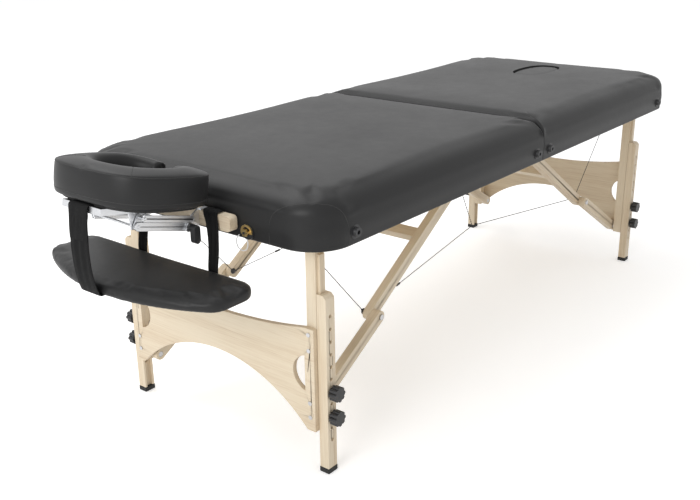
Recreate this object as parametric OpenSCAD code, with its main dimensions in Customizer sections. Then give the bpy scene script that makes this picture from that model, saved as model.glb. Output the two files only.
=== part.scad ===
// Portable massage table with two folding halves, a face cradle and an arm shelf.
// Millimetres, +Z up, feet on Z = 0. +X runs from the head end to the foot end.
// The head half is drawn at negative X about the fold line and mirrored for the foot half.

/* [Table] */
// Length of the two cushions together
table_l = 1854; // [1780:1:1960]
// Width of the table
table_w = 762; // [740:1:820]
// Height of the table top above the floor
table_h = 667; // [655:1:700]
// Plan radius of the four outer corners
corner_r = 90; // [60:1:110]
// Height of the wooden rails
rail_h = 55; // [52:1:60]
// Thickness of the wooden rails
rail_t = 20; // [14:1:26]
// Thickness of the plywood deck
deck_t = 6; // [4:0.5:8]
// Thickness of the foam pad with its cover
pad_t = 51; // [40:1:65]
// Rounding of the pad's upper edges
pad_edge_r = 42; // [20:1:44]
// Gap between the two halves when the table is open
seam_gap = 1.5; // [1:0.1:3]

/* [Legs] */
// Distance from the fold line to the middle of a leg
leg_x = 835; // [800:1:850]
// Width of a leg along the table
leg_w = 30; // [26:1:32]
// Thickness of an upper leg across the table
leg_t = 27; // [22:1:32]
// Distance from the table's middle to the inner face of a leg
leg_y = 273; // [270:1:276]
// Height of the lower end of the upper legs
leg_bottom_z = 104; // [95:1:115]
// Distance from the rails' underside up to the leg pivot
pivot_rise = 30; // [28:1:36]
// Radius of the pivot bolts of legs and braces
pivot_r = 4; // [3:0.5:5]
// Width of the tongue on the upper leg
tongue_w = 16; // [12:1:18]
// How far the tongue stands out of the leg
tongue_t = 7; // [5:1:9]
// Thickness of the leg extension across the table
ext_t = 25.7; // [22:0.1:28]
// Height of the top of the leg extension
ext_top_z = 433; // [420:1:450]
// Height of the rubber foot
foot_h = 12; // [8:1:16]
// Rubber foot's overhang on each side
foot_lip = 1; // [0.5:0.5:2]
// Height of the lower clamp knob
knob_z = 143; // [138:1:150]
// Distance between height holes
hole_pitch = 30; // [25:1:32]
// Radius of the height holes
hole_r = 4.2; // [4:0.1:5]
// Outer radius of a clamp knob
knob_r = 18; // [14:1:18]
// Thickness of a clamp knob's head
knob_t = 19; // [12:1:20]

/* [End panels] */
// Thickness of the plywood end panel
panel_t = 12; // [9:1:14]
// Height of the panel's upper corners
panel_top_z = 353; // [330:1:370]
// Dip of the panel's upper edge at the middle
panel_dip = 27; // [10:1:40]
// Height of the arch's crown
arch_z = 222; // [200:1:235]
// Radius of the arch
arch_r = 382; // [370:1:400]
// Height of the middle of the half-moon cut-outs
moon_z = 243; // [238:1:250]
// Radius of the half-moon cut-outs
moon_r = 44; // [30:1:46]
// Depth of the half-moon cut-outs
moon_depth = 34; // [20:1:40]

/* [Braces] */
// Thickness of the brace bars
brace_t = 22; // [16:1:22]
// Width of the brace bars
brace_w = 30; // [24:1:30]
// Distance from the fold line to the elbow
elbow_x = 576; // [560:1:590]
// Height of the elbow
elbow_z = 272; // [265:1:280]
// Height of the lower brace's pivot on the leg
brace_foot_z = 120; // [118:1:128]
// Distance of the crossbar from the upper brace's top pivot
brace_bar_d = 325; // [250:1:400]
// Thickness of the crossbar between the upper braces
brace_bar_t = 22; // [16:1:26]
// Radius of the steel cables
cable_r = 1; // [0.8:0.1:1.5]

/* [Head rest] */
// How far the head rest reaches past the head end
cradle_reach = 271; // [270:1:276]
// Gap between the head end and the head rest's crossbar
crossbar_gap = 8; // [7:0.5:12]
// Depth of the crossbar along the table
crossbar_d = 22; // [20:1:26]
// Height of the crossbar's section
crossbar_h = 33; // [30:1:38]
// Half the length of the crossbar
crossbar_half = 165; // [162:1:190]
// Distance of the posts from the middle
post_y = 141; // [138:1:146]
// Radius of the posts
post_r = 9.5; // [8:0.5:10]
// Length of the posts inside the table
post_in = 140; // [110:1:150]
// Tilt of the face cushion, front end up, in degrees
cradle_tilt = 10.5; // [9:0.5:11]
// Half the depth of the face cushion
face_a = 126; // [118:1:128]
// Half the width of the face cushion
face_b = 149; // [140:1:160]
// Thickness of the face cushion
face_t = 76; // [60:1:85]
// Half the width of the face hole
face_hole_b = 86; // [78:1:92]
// Distance from the middle of the cushion to the front of the face hole
face_hole_front = 62; // [54:1:68]
// Thickness of the aluminium plates of the head rest
plate_t = 4; // [3:0.5:5]
// Half the length of the arm shelf
shelf_half = 268; // [250:1:290]
// Depth of the arm shelf at the middle
shelf_d = 188; // [182:1:192]
// Thickness of the arm shelf
shelf_t = 28; // [20:1:32]
// Height of the arm shelf's top
shelf_z = 494; // [480:1:500]
// Width of the straps
strap_w = 50; // [40:1:50]
// Thickness of the straps
strap_t = 2.4; // [1.5:0.1:2.5]

/* [Breath hole] */
// Distance of the breath hole from the fold line
plug_x = 690; // [600:1:720]
// Half the length of the plug
plug_a = 110; // [90:1:120]
// Half the width of the plug
plug_b = 58; // [45:1:70]

/* [Hidden] */
$fn = 48;
cut = 1;          // how far a cut runs past the face it opens
fit = 0.05;       // radial clearance of a bolt or pin in its hole
gap = 0.3;        // clearance between faces that slide past each other
bolt_head_t = 3;
bolt_head_r = 8;
bracket_t = 3;    // sheet thickness of the steel pivot brackets

wood = [0.88, 0.83, 0.74];
ply = [0.87, 0.80, 0.68];
vinyl = [0.16, 0.16, 0.17];
plastic = [0.08, 0.08, 0.08];
steel = [0.72, 0.72, 0.74];
alu = [0.80, 0.81, 0.83];
brass = [0.75, 0.62, 0.32];

half_l = table_l / 2;
half_w = table_w / 2;
origin_shift = cradle_reach / 2;   // puts the origin under the middle of the whole box
pad_z = table_h - pad_t;
deck_z = pad_z - deck_t;
under_z = deck_z - rail_h;         // underside of the rails
pivot_z = under_z + pivot_rise;
half_seam = seam_gap / 2;
edge_r = min(pad_edge_r, pad_t - 4);   // the pad keeps an upright band below its rounded edge

// Points of the leg and brace linkage as [x, z], head half
P_leg = [-leg_x, pivot_z];
P_foot = [2 - leg_x, brace_foot_z];
P_elbow = [-elbow_x, elbow_z];
// Folded flat, the lower pivot lies level with the leg pivot, and both braces lie in one line
folded_foot_x = P_leg.x + pivot_z - P_foot.y;
brace_top_z = pivot_z + P_foot.x - P_leg.x;
lower_len = norm(P_elbow - P_foot);
fold_sum = lower_len - folded_foot_x;
top_rise = brace_top_z - P_elbow.y;
brace_top_x = (P_elbow.x * P_elbow.x + top_rise * top_rise - fold_sum * fold_sum)
    / (2 * (fold_sum + P_elbow.x));
P_top = [brace_top_x, brace_top_z];

// Layers across the table, from the middle outwards
lower_y1 = leg_y - 5;
lower_y0 = lower_y1 - brace_t;
upper_y1 = lower_y0 - 0.5;
upper_y0 = upper_y1 - brace_t;
leg_y1 = leg_y + leg_t;
ext_y0 = leg_y1 + gap;
ext_y1 = ext_y0 + ext_t;
tongue_top_z = pivot_z - 65;
knob_boss_t = 4.7;
knob_zs = [knob_z, knob_z + 2 * hole_pitch];
hole_zs = [for (i = [-2 : 8]) knob_z + i * hole_pitch];

// Hinges of the centre fold
fold_r = 4;
fold_pin_r = 2;
fold_z = under_z - fold_r - gap;
hinge_y = 250;
hinge_len = 60;
leaf_w = 18;
leaf_t = 2;

socket_xs = [leg_x - 15, 36];
socket_z = under_z + 26;
socket_flange_r = 15;
socket_hub_r = 10;
socket_hole_r = 4.5;
socket_out = 12;

latch_y = 190;
latch_z = under_z + 17;
latch_base_r = 17;
latch_base_t = 6;
latch_stud_r = 2.5;
latch_hook_t = 2.5;

// Cables as [x, y, z], head half, far side
clip_t = 4.5;
cable_y = upper_y0 - clip_t / 2;
P_clip = [P_elbow.x - 8, cable_y, P_elbow.y + 6];
P_eye = [-half_l + 43, cable_y, deck_z - 2];
P_joint = [0, 173, 328];
P_hanger = [0, 80, under_z - 1];
ferrule_r = 2.5;
ferrule_at = 0.25;   // place along the centre cable, as a share of its length
ferrule_part = 0.03; // length of the ferrule, as a share of the cable's

// Head rest as [x, z]
end_x = -half_l;
bar_x1 = end_x - crossbar_gap;
bar_x0 = bar_x1 - crossbar_d;
bar_z1 = under_z + 49;
bar_z0 = bar_z1 - crossbar_h;
post_z = under_z + 27;
crossbar_corner_r = 9;
post_bury = 7;            // front end of the posts inside the crossbar
P_rear = [bar_x0 - 28, bar_z0 + 2];
P_front = P_rear + [-127, 34];
link_off = [10, 16];
P_link_rear = P_rear + link_off;
P_link_front = P_front + link_off;
face_x = P_front.x + 41;
face_z = P_front.y + 39;
cradle_pin_r = 3;
ear_y = 56;
knuckle_y = ear_y + plate_t + 1;
arm_y = knuckle_y + plate_t + 1;
cheek_y = arm_y + plate_t + 1;
link_y = cheek_y + plate_t + 1;
lever_y = link_y + plate_t + 4;
lever_t = 14;
board_t = 6;
board_inset = 16;         // the board is this much smaller than the cushion all round
face_hole_a = 72;         // half the length of the face hole
platform_bar_h = 14;
ear_inset = 0.5;          // the ears are this much thinner than the platform bars on each face
platform_bar_x1 = 12;     // in the platform's own tilted frame
tie_l = 14;               // length of the tie between the tips of the platform bars
shelf_tip = 112;          // width of the arm shelf at its tips
shelf_corner_r = 38;
shelf_x1 = bar_x0 - 28;
shelf_x0 = shelf_x1 - shelf_d;
strap_y = 104;
rear_strap_w = 40;
strap_front_x = end_x - cradle_reach;
platform_bar_x0 = tilted_x(strap_front_x + strap_t + 3, -board_t - platform_bar_h);

// ---- helpers ----

module head() { translate([origin_shift, 0, 0]) children(); }
module foot() { translate([origin_shift, 0, 0]) mirror([1, 0, 0]) children(); }
module pair() { children(); mirror([0, 1, 0]) children(); }
module near() { mirror([0, 1, 0]) children(); }

// Round bar along Y between two distances from the middle, at a point [x, z]
module across(p, r, y0, y1) {
    translate([p.x, y0, p.y]) rotate([-90, 0, 0]) cylinder(r = r, h = y1 - y0);
}

// Round bar along X
module along(r, x0, x1) { translate([x0, 0, 0]) rotate([0, 90, 0]) cylinder(r = r, h = x1 - x0); }

// Flat bar with round ends between two points [x, z]
module link(p, q, w, y0, y1) {
    d = q - p;
    translate([p.x, 0, p.y]) rotate([0, atan2(d.x, d.y), 0]) {
        translate([-w / 2, y0, 0]) cube([w, y1 - y0, norm(d)]);
        across([0, 0], w / 2, y0, y1);
        across([0, norm(d)], w / 2, y0, y1);
    }
}

// Straight wire between two points [x, y, z]
module wire(a, b, r) {
    d = b - a;
    translate(a) rotate([0, acos(d.z / norm(d)), atan2(d.y, d.x)]) cylinder(r = r, h = norm(d), $fn = 16);
}

// Extrudes an outline drawn in X and Z from y0 to y1
module side_plate(y0, y1) { translate([0, y1, 0]) rotate([90, 0, 0]) linear_extrude(y1 - y0) children(); }

function superellipse(a, b, n, steps) = [
    for (i = [0 : steps - 1]) let (t = 360 * i / steps, c = cos(t), s = sin(t))
        [a * sign(c) * pow(abs(c), 2 / n), b * sign(s) * pow(abs(s), 2 / n)]
];

// Plan of one half with its two outer corners rounded
module half_plan(inset) {
    r = corner_r - inset;
    x0 = inset - half_l;
    y1 = half_w - inset;
    translate([x0 + r, -y1]) square([-x0 - r - half_seam, 2 * y1]);
    translate([x0, r - y1]) square([r + cut, 2 * (y1 - r)]);
    for (s = [-1, 1]) translate([x0 + r, s * (y1 - r)]) circle(r, $fn = 96);
}

// ---- one half of the table, head side ----

module frame_half() {
    post_guide_x = end_x + 127;
    difference() {
        union() {
            // end rail with both corners, side rails and centre rail as four pieces
            intersection() {
                ring();
                translate([-half_l, -half_w, under_z]) cube([corner_r, table_w, rail_h]);
            }
            pair() translate([corner_r - half_l, half_w - rail_t, under_z])
                cube([half_l - corner_r - half_seam, rail_t, rail_h]);
            translate([-rail_t - half_seam, rail_t - half_w, under_z])
                cube([rail_t, table_w - 2 * rail_t, rail_h]);
            translate([post_guide_x, -160, under_z + 2]) cube([rail_t, 320, rail_h - 2]);
        }
        pair() translate([0, post_y, post_z])
            along(post_r + fit, -half_l - cut, post_guide_x + rail_t + cut);
    }
}

module ring() {
    translate([0, 0, under_z]) difference() {
        linear_extrude(rail_h) half_plan(0);
        translate([0, 0, -cut]) linear_extrude(rail_h + 2 * cut) half_plan(rail_t);
    }
}

module deck_half() { translate([0, 0, deck_z]) linear_extrude(deck_t) half_plan(0); }

// Pad with rounded upper edges and upright faces at the seam
module pad_half() {
    seam_slab = 20;
    hull() {
        for (s = [-1, 1]) translate([corner_r - half_l, s * (half_w - corner_r), pad_z])
            rotate_extrude($fn = 64) pad_profile(corner_r);
        translate([-seam_slab - half_seam, 0, pad_z]) rotate([90, 0, 90]) linear_extrude(seam_slab) {
            pad_profile(half_w);
            mirror([1, 0]) pad_profile(half_w);
        }
    }
}

// Section of the pad from its middle out to its rounded edge
module pad_profile(w) {
    square([w, pad_t - edge_r]);
    square([w - edge_r, pad_t]);
    translate([w - edge_r, pad_t - edge_r]) intersection() {
        circle(edge_r);
        square(edge_r);
    }
}

module side_sockets_half() {
    pair() for (x = socket_xs) translate([-x, 0, 0]) difference() {
        union() {
            across([0, socket_z], socket_flange_r, half_w, half_w + 4);
            across([0, socket_z], socket_hub_r, half_w, half_w + socket_out);
        }
        across([0, socket_z], socket_hole_r, half_w + 3, half_w + socket_out + cut);
    }
}

// Brackets that hold the leg pivots and the upper brace pivots under the deck
module pivot_bracket(p, y0, y1) {
    side = 15;
    difference() {
        union() {
            translate([p.x - side, y0 - bracket_t, deck_z - bracket_t])
                cube([2 * side, y1 - y0 + 2 * bracket_t, bracket_t]);
            for (y = [y0 - bracket_t, y1]) {
                translate([p.x - side, y, p.y]) cube([2 * side, bracket_t, deck_z - p.y]);
                across(p, side, y, y + bracket_t);
            }
        }
        across(p, pivot_r + fit, y0 - bracket_t - cut, y1 + bracket_t + cut);
    }
    across(p, pivot_r, y0 - bracket_t, y1 + bracket_t);
    across(p, bolt_head_r - 1, y0 - 2 * bracket_t, y0 - bracket_t);
    across(p, bolt_head_r - 1, y1 + bracket_t, y1 + 2 * bracket_t);
}

module pivot_brackets_half() {
    pair() pivot_bracket(P_leg, leg_y - 0.5, leg_y1 + 0.5);
    pair() pivot_bracket(P_top, upper_y0 - 0.5, upper_y1 + 0.5);
}

// Hinge leaf with its knuckles; the head side carries the pin
module hinge_leaf(knuckles) {
    translate([0, hinge_y - hinge_len / 2, 0]) difference() {
        union() {
            translate([-leaf_w - fold_r, 0, under_z - leaf_t]) cube([leaf_w, hinge_len, leaf_t]);
            for (k = knuckles) {
                across([0, fold_z], fold_r, k[0], k[1]);
                translate([-fold_r - cut, k[0], fold_z])
                    cube([fold_r + cut - fold_pin_r - 0.5, k[1] - k[0], under_z - fold_z]);
            }
        }
        across([0, fold_z], fold_pin_r + fit, -cut, hinge_len + cut);
    }
}

// ---- legs of one half ----

module upper_leg() {
    difference() {
        union() {
            translate([P_leg.x - leg_w / 2, leg_y, leg_bottom_z])
                cube([leg_w, leg_t, pivot_z - leg_bottom_z]);
            across(P_leg, leg_w / 2, leg_y, leg_y1);
            translate([P_leg.x - tongue_w / 2, leg_y1 - cut, leg_bottom_z])
                cube([tongue_w, tongue_t + cut, tongue_top_z - leg_bottom_z]);
        }
        across(P_leg, pivot_r + fit, leg_y - cut, leg_y1 + cut);
        for (z = knob_zs) across([P_leg.x, z], pivot_r + fit, leg_y - cut, leg_y1 + tongue_t + cut);
        across(P_foot, pivot_r + fit, leg_y - cut, leg_y1 - 6);
        for (z = screw_zs()) translate([0, screw_y(), z])
            along(2, -leg_x - leg_w / 2 - cut, -leg_x - leg_w / 2 + 20);
    }
}

function screw_y() = leg_y + leg_t / 2;
function screw_zs() = [leg_bottom_z + 34, leg_bottom_z + 69, panel_top_z - 52, panel_top_z - 14];

module panel_half() {
    x1 = -leg_x - leg_w / 2;
    dip_r = (leg_y * leg_y + panel_dip * panel_dip) / (2 * panel_dip);
    difference() {
        translate([x1 - panel_t, -leg_y1, leg_bottom_z])
            cube([panel_t, 2 * leg_y1, panel_top_z - leg_bottom_z]);
        translate([0, 0, panel_top_z - panel_dip + dip_r])
            along(dip_r, x1 - panel_t - cut, x1 + cut, $fn = 200);
        translate([0, 0, arch_z - arch_r]) along(arch_r, x1 - panel_t - cut, x1 + cut, $fn = 200);
        pair() intersection() {
            translate([0, leg_y - moon_depth + moon_r, moon_z])
                along(moon_r, x1 - panel_t - cut, x1 + cut);
            translate([x1 - panel_t - cut, 0, 0]) cube([panel_t + 2 * cut, leg_y, panel_top_z]);
        }
        pair() for (z = screw_zs()) translate([0, screw_y(), z])
            along(2, x1 - panel_t - cut, x1 + cut);
    }
}

module leg_fasteners_half() {
    x1 = -leg_x - leg_w / 2 - panel_t;
    pair() {
        // coach bolts of the clamp knobs, ending flush with the tongue
        for (z = knob_zs) {
            across([P_leg.x, z], bolt_head_r, leg_y - bolt_head_t, leg_y);
            across([P_leg.x, z], pivot_r, leg_y, leg_y1 + tongue_t);
        }
        // bolt of the lower brace with its spacer
        across(P_foot, pivot_r, lower_y0 + 1, leg_y1 - 7);
        difference() {
            across(P_foot, bolt_head_r, lower_y1 + gap, leg_y);
            across(P_foot, pivot_r + fit, lower_y1, leg_y + cut);
        }
        across(P_foot, bolt_head_r - 1, lower_y0 + 1, lower_y0 + 1 + bolt_head_t);
        // panel screws
        for (z = screw_zs()) translate([0, screw_y(), z]) {
            along(5, x1 - 2, x1);
            along(2, x1, x1 + panel_t + 19);
        }
    }
}

module extension() {
    x0 = P_leg.x - leg_w / 2;
    difference() {
        translate([x0, ext_y0, foot_h]) cube([leg_w, ext_t, ext_top_z - foot_h]);
        translate([P_leg.x - tongue_w / 2 - gap, ext_y0 - cut, foot_h - cut])
            cube([tongue_w + 2 * gap, tongue_t + gap + cut, ext_top_z]);
        translate([x0 - cut, ext_y1 - 8, ext_top_z]) rotate([-45, 0, 0])
            cube([leg_w + 2 * cut, 20, 20]);
        for (z = hole_zs) across([P_leg.x, z], hole_r, ext_y0, ext_y1 + cut);
    }
}

module rubber_foot() {
    translate([P_leg.x - leg_w / 2 - foot_lip, ext_y0 - foot_lip, 0])
        cube([leg_w + 2 * foot_lip, ext_t + 2 * foot_lip, foot_h]);
}

module knob(z) {
    lobe_r = 5.5;
    y0 = ext_y1 + gap;
    translate([P_leg.x, 0, z]) {
        across([0, 0], 11, y0, y0 + knob_boss_t);
        translate([0, y0 + knob_boss_t, 0]) rotate([-90, 0, 0]) linear_extrude(knob_t) {
            circle(knob_r - lobe_r + 1.5);
            for (i = [0 : 7]) rotate(45 * i) translate([knob_r - lobe_r, 0]) circle(lobe_r);
        }
    }
}

// ---- braces of one half ----

module upper_braces_half() {
    pair() difference() {
        link(P_top, P_elbow, brace_w, upper_y0, upper_y1);
        for (p = [P_top, P_elbow]) across(p, pivot_r + fit, upper_y0 - cut, upper_y1 + cut);
    }
}

module brace_crossbar_half() {
    d = P_elbow - P_top;
    translate([P_top.x, -upper_y0, P_top.y]) rotate([0, -atan2(d.y, d.x), 0])
        translate([brace_bar_d - brace_w / 2, 0, -brace_bar_t / 2])
            cube([brace_w, 2 * upper_y0, brace_bar_t]);
}

module lower_braces_half() {
    pair() difference() {
        link(P_foot, P_elbow, brace_w, lower_y0, lower_y1);
        across(P_elbow, pivot_r + fit, lower_y0 - cut, lower_y1 + cut);
        across(P_foot, pivot_r + fit, lower_y0 - cut, lower_y1 + cut);
        across(P_foot, bolt_head_r, lower_y0 - cut, lower_y0 + 1 + bolt_head_t + gap);
    }
}

module elbow_bolts_half() {
    pair() {
        across(P_elbow, pivot_r, lower_y0, lower_y1);
        across(P_elbow, bolt_head_r - 1, lower_y1, lower_y1 + 4);
    }
}

// Cable from the elbow clip to the eye under the deck, with the clip itself
module outer_cables_half() {
    pair() {
        difference() {
            across([P_clip.x, P_clip.z], 7, upper_y0 - clip_t, upper_y0);
            wire(P_clip, P_eye, cable_r + fit);
        }
        wire(P_clip, P_eye, cable_r);
    }
}

module centre_cables_all() {
    start = P_clip + [12, 0, 0];
    span = P_joint - start;
    pair() {
        wire(start, P_joint, cable_r);
        mirror([1, 0, 0]) wire(start, P_joint, cable_r);
        wire(start + ferrule_at * span, start + (ferrule_at + ferrule_part) * span, ferrule_r);
        wire(P_joint, P_hanger, cable_r);
        translate(P_joint) sphere(ferrule_r);
    }
}

// ---- head rest ----

module crossbar() {
    r = crossbar_corner_r;
    difference() {
        union() {
            translate([bar_x0, r - crossbar_half, bar_z0])
                cube([crossbar_d, 2 * (crossbar_half - r), crossbar_h]);
            translate([bar_x0, -crossbar_half, bar_z0 + r])
                cube([crossbar_d, 2 * crossbar_half, crossbar_h - 2 * r]);
            pair() for (z = [bar_z0 + r, bar_z1 - r])
                translate([0, crossbar_half - r, z]) along(r, bar_x0, bar_x1);
        }
        pair() translate([0, post_y, post_z]) along(post_r, bar_x0 + post_bury, bar_x1 + cut);
    }
    pair() translate([0, post_y, post_z]) along(post_r, bar_x0 + post_bury, end_x + post_in);
}

module bracket_cheeks() {
    flange_l = crossbar_d - 2;
    flange_w = strap_y - rear_strap_w / 2 - cheek_y - 2;
    pair() difference() {
        union() {
            side_plate(cheek_y, cheek_y + plate_t) polygon([
                [bar_x0, bar_z0 + 1], P_rear + [-4, -10], P_rear + [-10, -5], P_link_rear + [-9, 2],
                P_link_rear + [-2, 8], [bar_x0 - 3, bar_z1 + plate_t - 1],
                [bar_x0 + flange_l, bar_z1 + plate_t - 1], [bar_x0 + flange_l, bar_z1], [bar_x0, bar_z1]
            ]);
            translate([bar_x0, cheek_y, bar_z1]) cube([flange_l, flange_w, plate_t - 1]);
        }
        across(P_rear, cradle_pin_r + fit, cheek_y - cut, cheek_y + plate_t + cut);
        across(P_link_rear, cradle_pin_r + fit, cheek_y - cut, cheek_y + plate_t + cut);
    }
    across(P_rear, cradle_pin_r, -lever_y - lever_t + 2, cheek_y + plate_t + 1);
    pair() across(P_link_rear, cradle_pin_r, cheek_y, link_y + plate_t + 1);
}

module arms() {
    pair() difference() {
        link(P_rear, P_front, 18, arm_y, arm_y + plate_t);
        across(P_rear, cradle_pin_r + fit, arm_y - cut, arm_y + plate_t + cut);
        across(P_front, cradle_pin_r + fit, arm_y - cut, arm_y + plate_t + cut);
    }
}

module top_links() {
    pair() difference() {
        link(P_link_rear, P_link_front, 14, link_y, link_y + plate_t);
        across(P_link_rear, cradle_pin_r + fit, link_y - cut, link_y + plate_t + cut);
        across(P_link_front, cradle_pin_r + fit, link_y - cut, link_y + plate_t + cut);
    }
}

module knuckles() {
    pair() {
        difference() {
            link(P_front, P_link_front, 16, knuckle_y, knuckle_y + plate_t);
            across(P_front, cradle_pin_r + fit, knuckle_y - cut, knuckle_y + plate_t + cut);
        }
        across(P_link_front, cradle_pin_r, knuckle_y + plate_t, link_y + plate_t + 1);
    }
    across(P_front, cradle_pin_r, -arm_y - plate_t - 1, arm_y + plate_t + 1);
}

module lever() {
    near() difference() {
        union() {
            across(P_rear, 9, cheek_y + plate_t + gap, lever_y + 1);
            link(P_rear, P_rear + [0, -24], 16, lever_y, lever_y + lever_t);
        }
        across(P_rear, cradle_pin_r + fit, cheek_y, lever_y + lever_t - 2 + gap);
    }
}

module tilted() { translate([face_x, 0, face_z]) rotate([0, cradle_tilt, 0]) children(); }

// Horseshoe outline, open towards the table
module horseshoe(grow) {
    difference() {
        polygon(superellipse(face_a + grow, face_b + grow, 3, 64));
        intersection() {
            translate([face_hole_a - face_hole_front, 0])
                polygon(superellipse(face_hole_a - grow, face_hole_b - grow, 2.2, 48));
            translate([-face_a, -face_b]) square([2 * face_a, 2 * face_b]);
        }
        translate([face_hole_a - face_hole_front, grow - 45]) square([2 * face_a, 90 - 2 * grow]);
    }
}

// A point of the head rest's tilted frame as [x, z] of the table, and back
function to_table(p) = [face_x + p.x * cos(cradle_tilt) + p.y * sin(cradle_tilt),
    face_z - p.x * sin(cradle_tilt) + p.y * cos(cradle_tilt)];
function tilted_x(x, z) = (x - face_x - z * sin(cradle_tilt)) / cos(cradle_tilt);
function at_x(x, z) = to_table([tilted_x(x, z), z]);

module platform() {
    ear_top = -board_t - platform_bar_h;
    tilted() {
        translate([0, 0, -board_t]) linear_extrude(board_t) horseshoe(-board_inset);
        pair() translate([platform_bar_x0, ear_y, ear_top])
            cube([platform_bar_x1 - platform_bar_x0, plate_t, platform_bar_h]);
        translate([platform_bar_x0, -ear_y, ear_top]) cube([tie_l, 2 * ear_y, platform_bar_h]);
    }
    ears();
}

module ears() {
    pair() difference() {
        side_plate(ear_y + ear_inset, ear_y + plate_t - ear_inset) polygon([
            P_front + [-10, -6], P_front + [-14, 34], P_front + [14, 28], P_front + [10, -6]
        ]);
        across(P_front, cradle_pin_r + fit, ear_y - cut, ear_y + plate_t + cut);
    }
}

module cushion_face() { tilted() linear_extrude(face_t) horseshoe(0); }

module shelf() {
    sagitta = shelf_d - shelf_tip;
    front_r = (shelf_half * shelf_half + sagitta * sagitta) / (2 * sagitta);
    translate([0, 0, shelf_z - shelf_t]) linear_extrude(shelf_t)
        offset(shelf_corner_r) offset(-shelf_corner_r) intersection() {
            translate([shelf_x0 + front_r, 0]) circle(front_r, $fn = 160);
            translate([shelf_x0, -shelf_half]) square([shelf_d, 2 * shelf_half]);
        }
}

module strap_front() {
    x0 = strap_front_x;
    x1 = x0 + strap_t;
    zi = -board_t + gap;
    zo = zi + strap_t;
    back = board_inset - face_a - 2;
    bend = at_x(x0, -board_t - platform_bar_h).y - 14;
    low = [shelf_x0 - strap_t - gap, shelf_z - shelf_t];
    side_plate(-strap_w / 2, strap_w / 2) polygon([
        [x0, bend], low, low + [strap_t, 0], [x1, bend],
        at_x(x1, zi), to_table([back, zi]), to_table([back, zo]), at_x(x0, zo)
    ]);
}

module straps_rear() {
    x0 = bar_x0 - gap;
    x1 = bar_x1 + gap;
    z1 = bar_z1 + gap;
    foot_x = shelf_x1 - 12;
    y0 = strap_y - rear_strap_w / 2;
    pair() side_plate(y0, y0 + rear_strap_w) polygon([
        [foot_x - strap_t, shelf_z + gap], [x0 - strap_t, bar_z0 - 4], [x0 - strap_t, z1 + strap_t],
        [x1 + strap_t, z1 + strap_t], [x1 + strap_t, bar_z0 - 8], [x1, bar_z0 - 8],
        [x1, z1], [x0, z1], [x0, bar_z0 - 4], [foot_x, shelf_z + gap]
    ]);
}

// ---- latch ----

module latch_base() {
    translate([0, latch_y, latch_z]) {
        along(latch_base_r, end_x - latch_base_t, end_x);
        along(latch_stud_r, end_x - latch_base_t - 12, end_x - latch_base_t);
    }
}

module latch_hook() {
    x1 = end_x - latch_base_t - gap;
    x0 = x1 - latch_hook_t;
    translate([0, latch_y, latch_z]) difference() {
        union() {
            along(6, x0, x1);
            translate([x0, 0, -3]) cube([latch_hook_t, 14, 6]);
            intersection() {
                difference() {
                    along(16, x0, x1);
                    along(11, x0 - cut, x1 + cut);
                }
                translate([x0, -20, -3]) cube([latch_hook_t, 40, 30]);
            }
            for (i = [0 : 5]) translate([0, 6 * cos(60 * i), 6 * sin(60 * i)]) along(2.5, x0 - 7, x0);
            along(6, x0 - 7, x0);
        }
        along(latch_stud_r + fit, x0 - 7 - cut, x1 + cut);
    }
}

// ---- named pieces ----

module head_frame() color(wood) head() frame_half();
module head_deck() color(ply) head() deck_half();
module head_pad() color(vinyl) head() pad_half();
module head_side_sockets() color(plastic) head() side_sockets_half();
module head_hinge_leaves() color(steel) head() pair() {
    hinge_leaf([[0, 20], [40, hinge_len]]);
    across([0, fold_z], fold_pin_r, hinge_y - hinge_len / 2, hinge_y + hinge_len / 2);
}
module head_pivot_brackets() color(steel) head() pivot_brackets_half();
module latch_bases() color(plastic) head() pair() latch_base();
module latch_hook_near() color(brass) head() near() latch_hook();
module latch_hook_far() color(brass) head() latch_hook();
module centre_cables() color(steel) head() centre_cables_all();
module foot_frame() color(wood) foot() frame_half();
module foot_deck() color(ply) foot() difference() {
    deck_half();
    translate([-plug_x, 0, deck_z - cut]) linear_extrude(deck_t + 2 * cut)
        polygon(superellipse(plug_a - 20, plug_b - 16, 2.5, 48));
}
module foot_pad() color(vinyl) foot() difference() {
    pad_half();
    translate([-plug_x, 0, pad_z - cut]) linear_extrude(pad_t + 2 * cut)
        polygon(superellipse(plug_a + 1, plug_b + 1, 2.5, 64));
}
module breath_plug() color(vinyl) foot() translate([-plug_x, 0, pad_z])
    linear_extrude(pad_t) polygon(superellipse(plug_a, plug_b, 2.5, 64));
module foot_side_sockets() color(plastic) foot() side_sockets_half();
module foot_hinge_leaves() color(steel) foot() pair() hinge_leaf([[20 + gap, 40 - gap]]);
module foot_pivot_brackets() color(steel) foot() pivot_brackets_half();
module head_legs() color(wood) head() pair() upper_leg();
module head_end_panel() color(ply) head() panel_half();
module head_leg_fasteners() color(steel) head() leg_fasteners_half();
module foot_legs() color(wood) foot() pair() upper_leg();
module foot_end_panel() color(ply) foot() panel_half();
module foot_leg_fasteners() color(steel) foot() leg_fasteners_half();
module head_upper_braces() color(wood) head() upper_braces_half();
module head_brace_crossbar() color(wood) head() brace_crossbar_half();
module head_outer_cables() color(steel) head() outer_cables_half();
module foot_upper_braces() color(wood) foot() upper_braces_half();
module foot_brace_crossbar() color(wood) foot() brace_crossbar_half();
module foot_outer_cables() color(steel) foot() outer_cables_half();
module head_lower_braces() color(wood) head() lower_braces_half();
module head_elbow_bolts() color(plastic) head() elbow_bolts_half();
module foot_lower_braces() color(wood) foot() lower_braces_half();
module foot_elbow_bolts() color(plastic) foot() elbow_bolts_half();
module head_near_extension() color(wood) head() near() extension();
module head_near_foot() color(plastic) head() near() rubber_foot();
module head_far_extension() color(wood) head() extension();
module head_far_foot() color(plastic) head() rubber_foot();
module foot_near_extension() color(wood) foot() near() extension();
module foot_near_foot() color(plastic) foot() near() rubber_foot();
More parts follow.
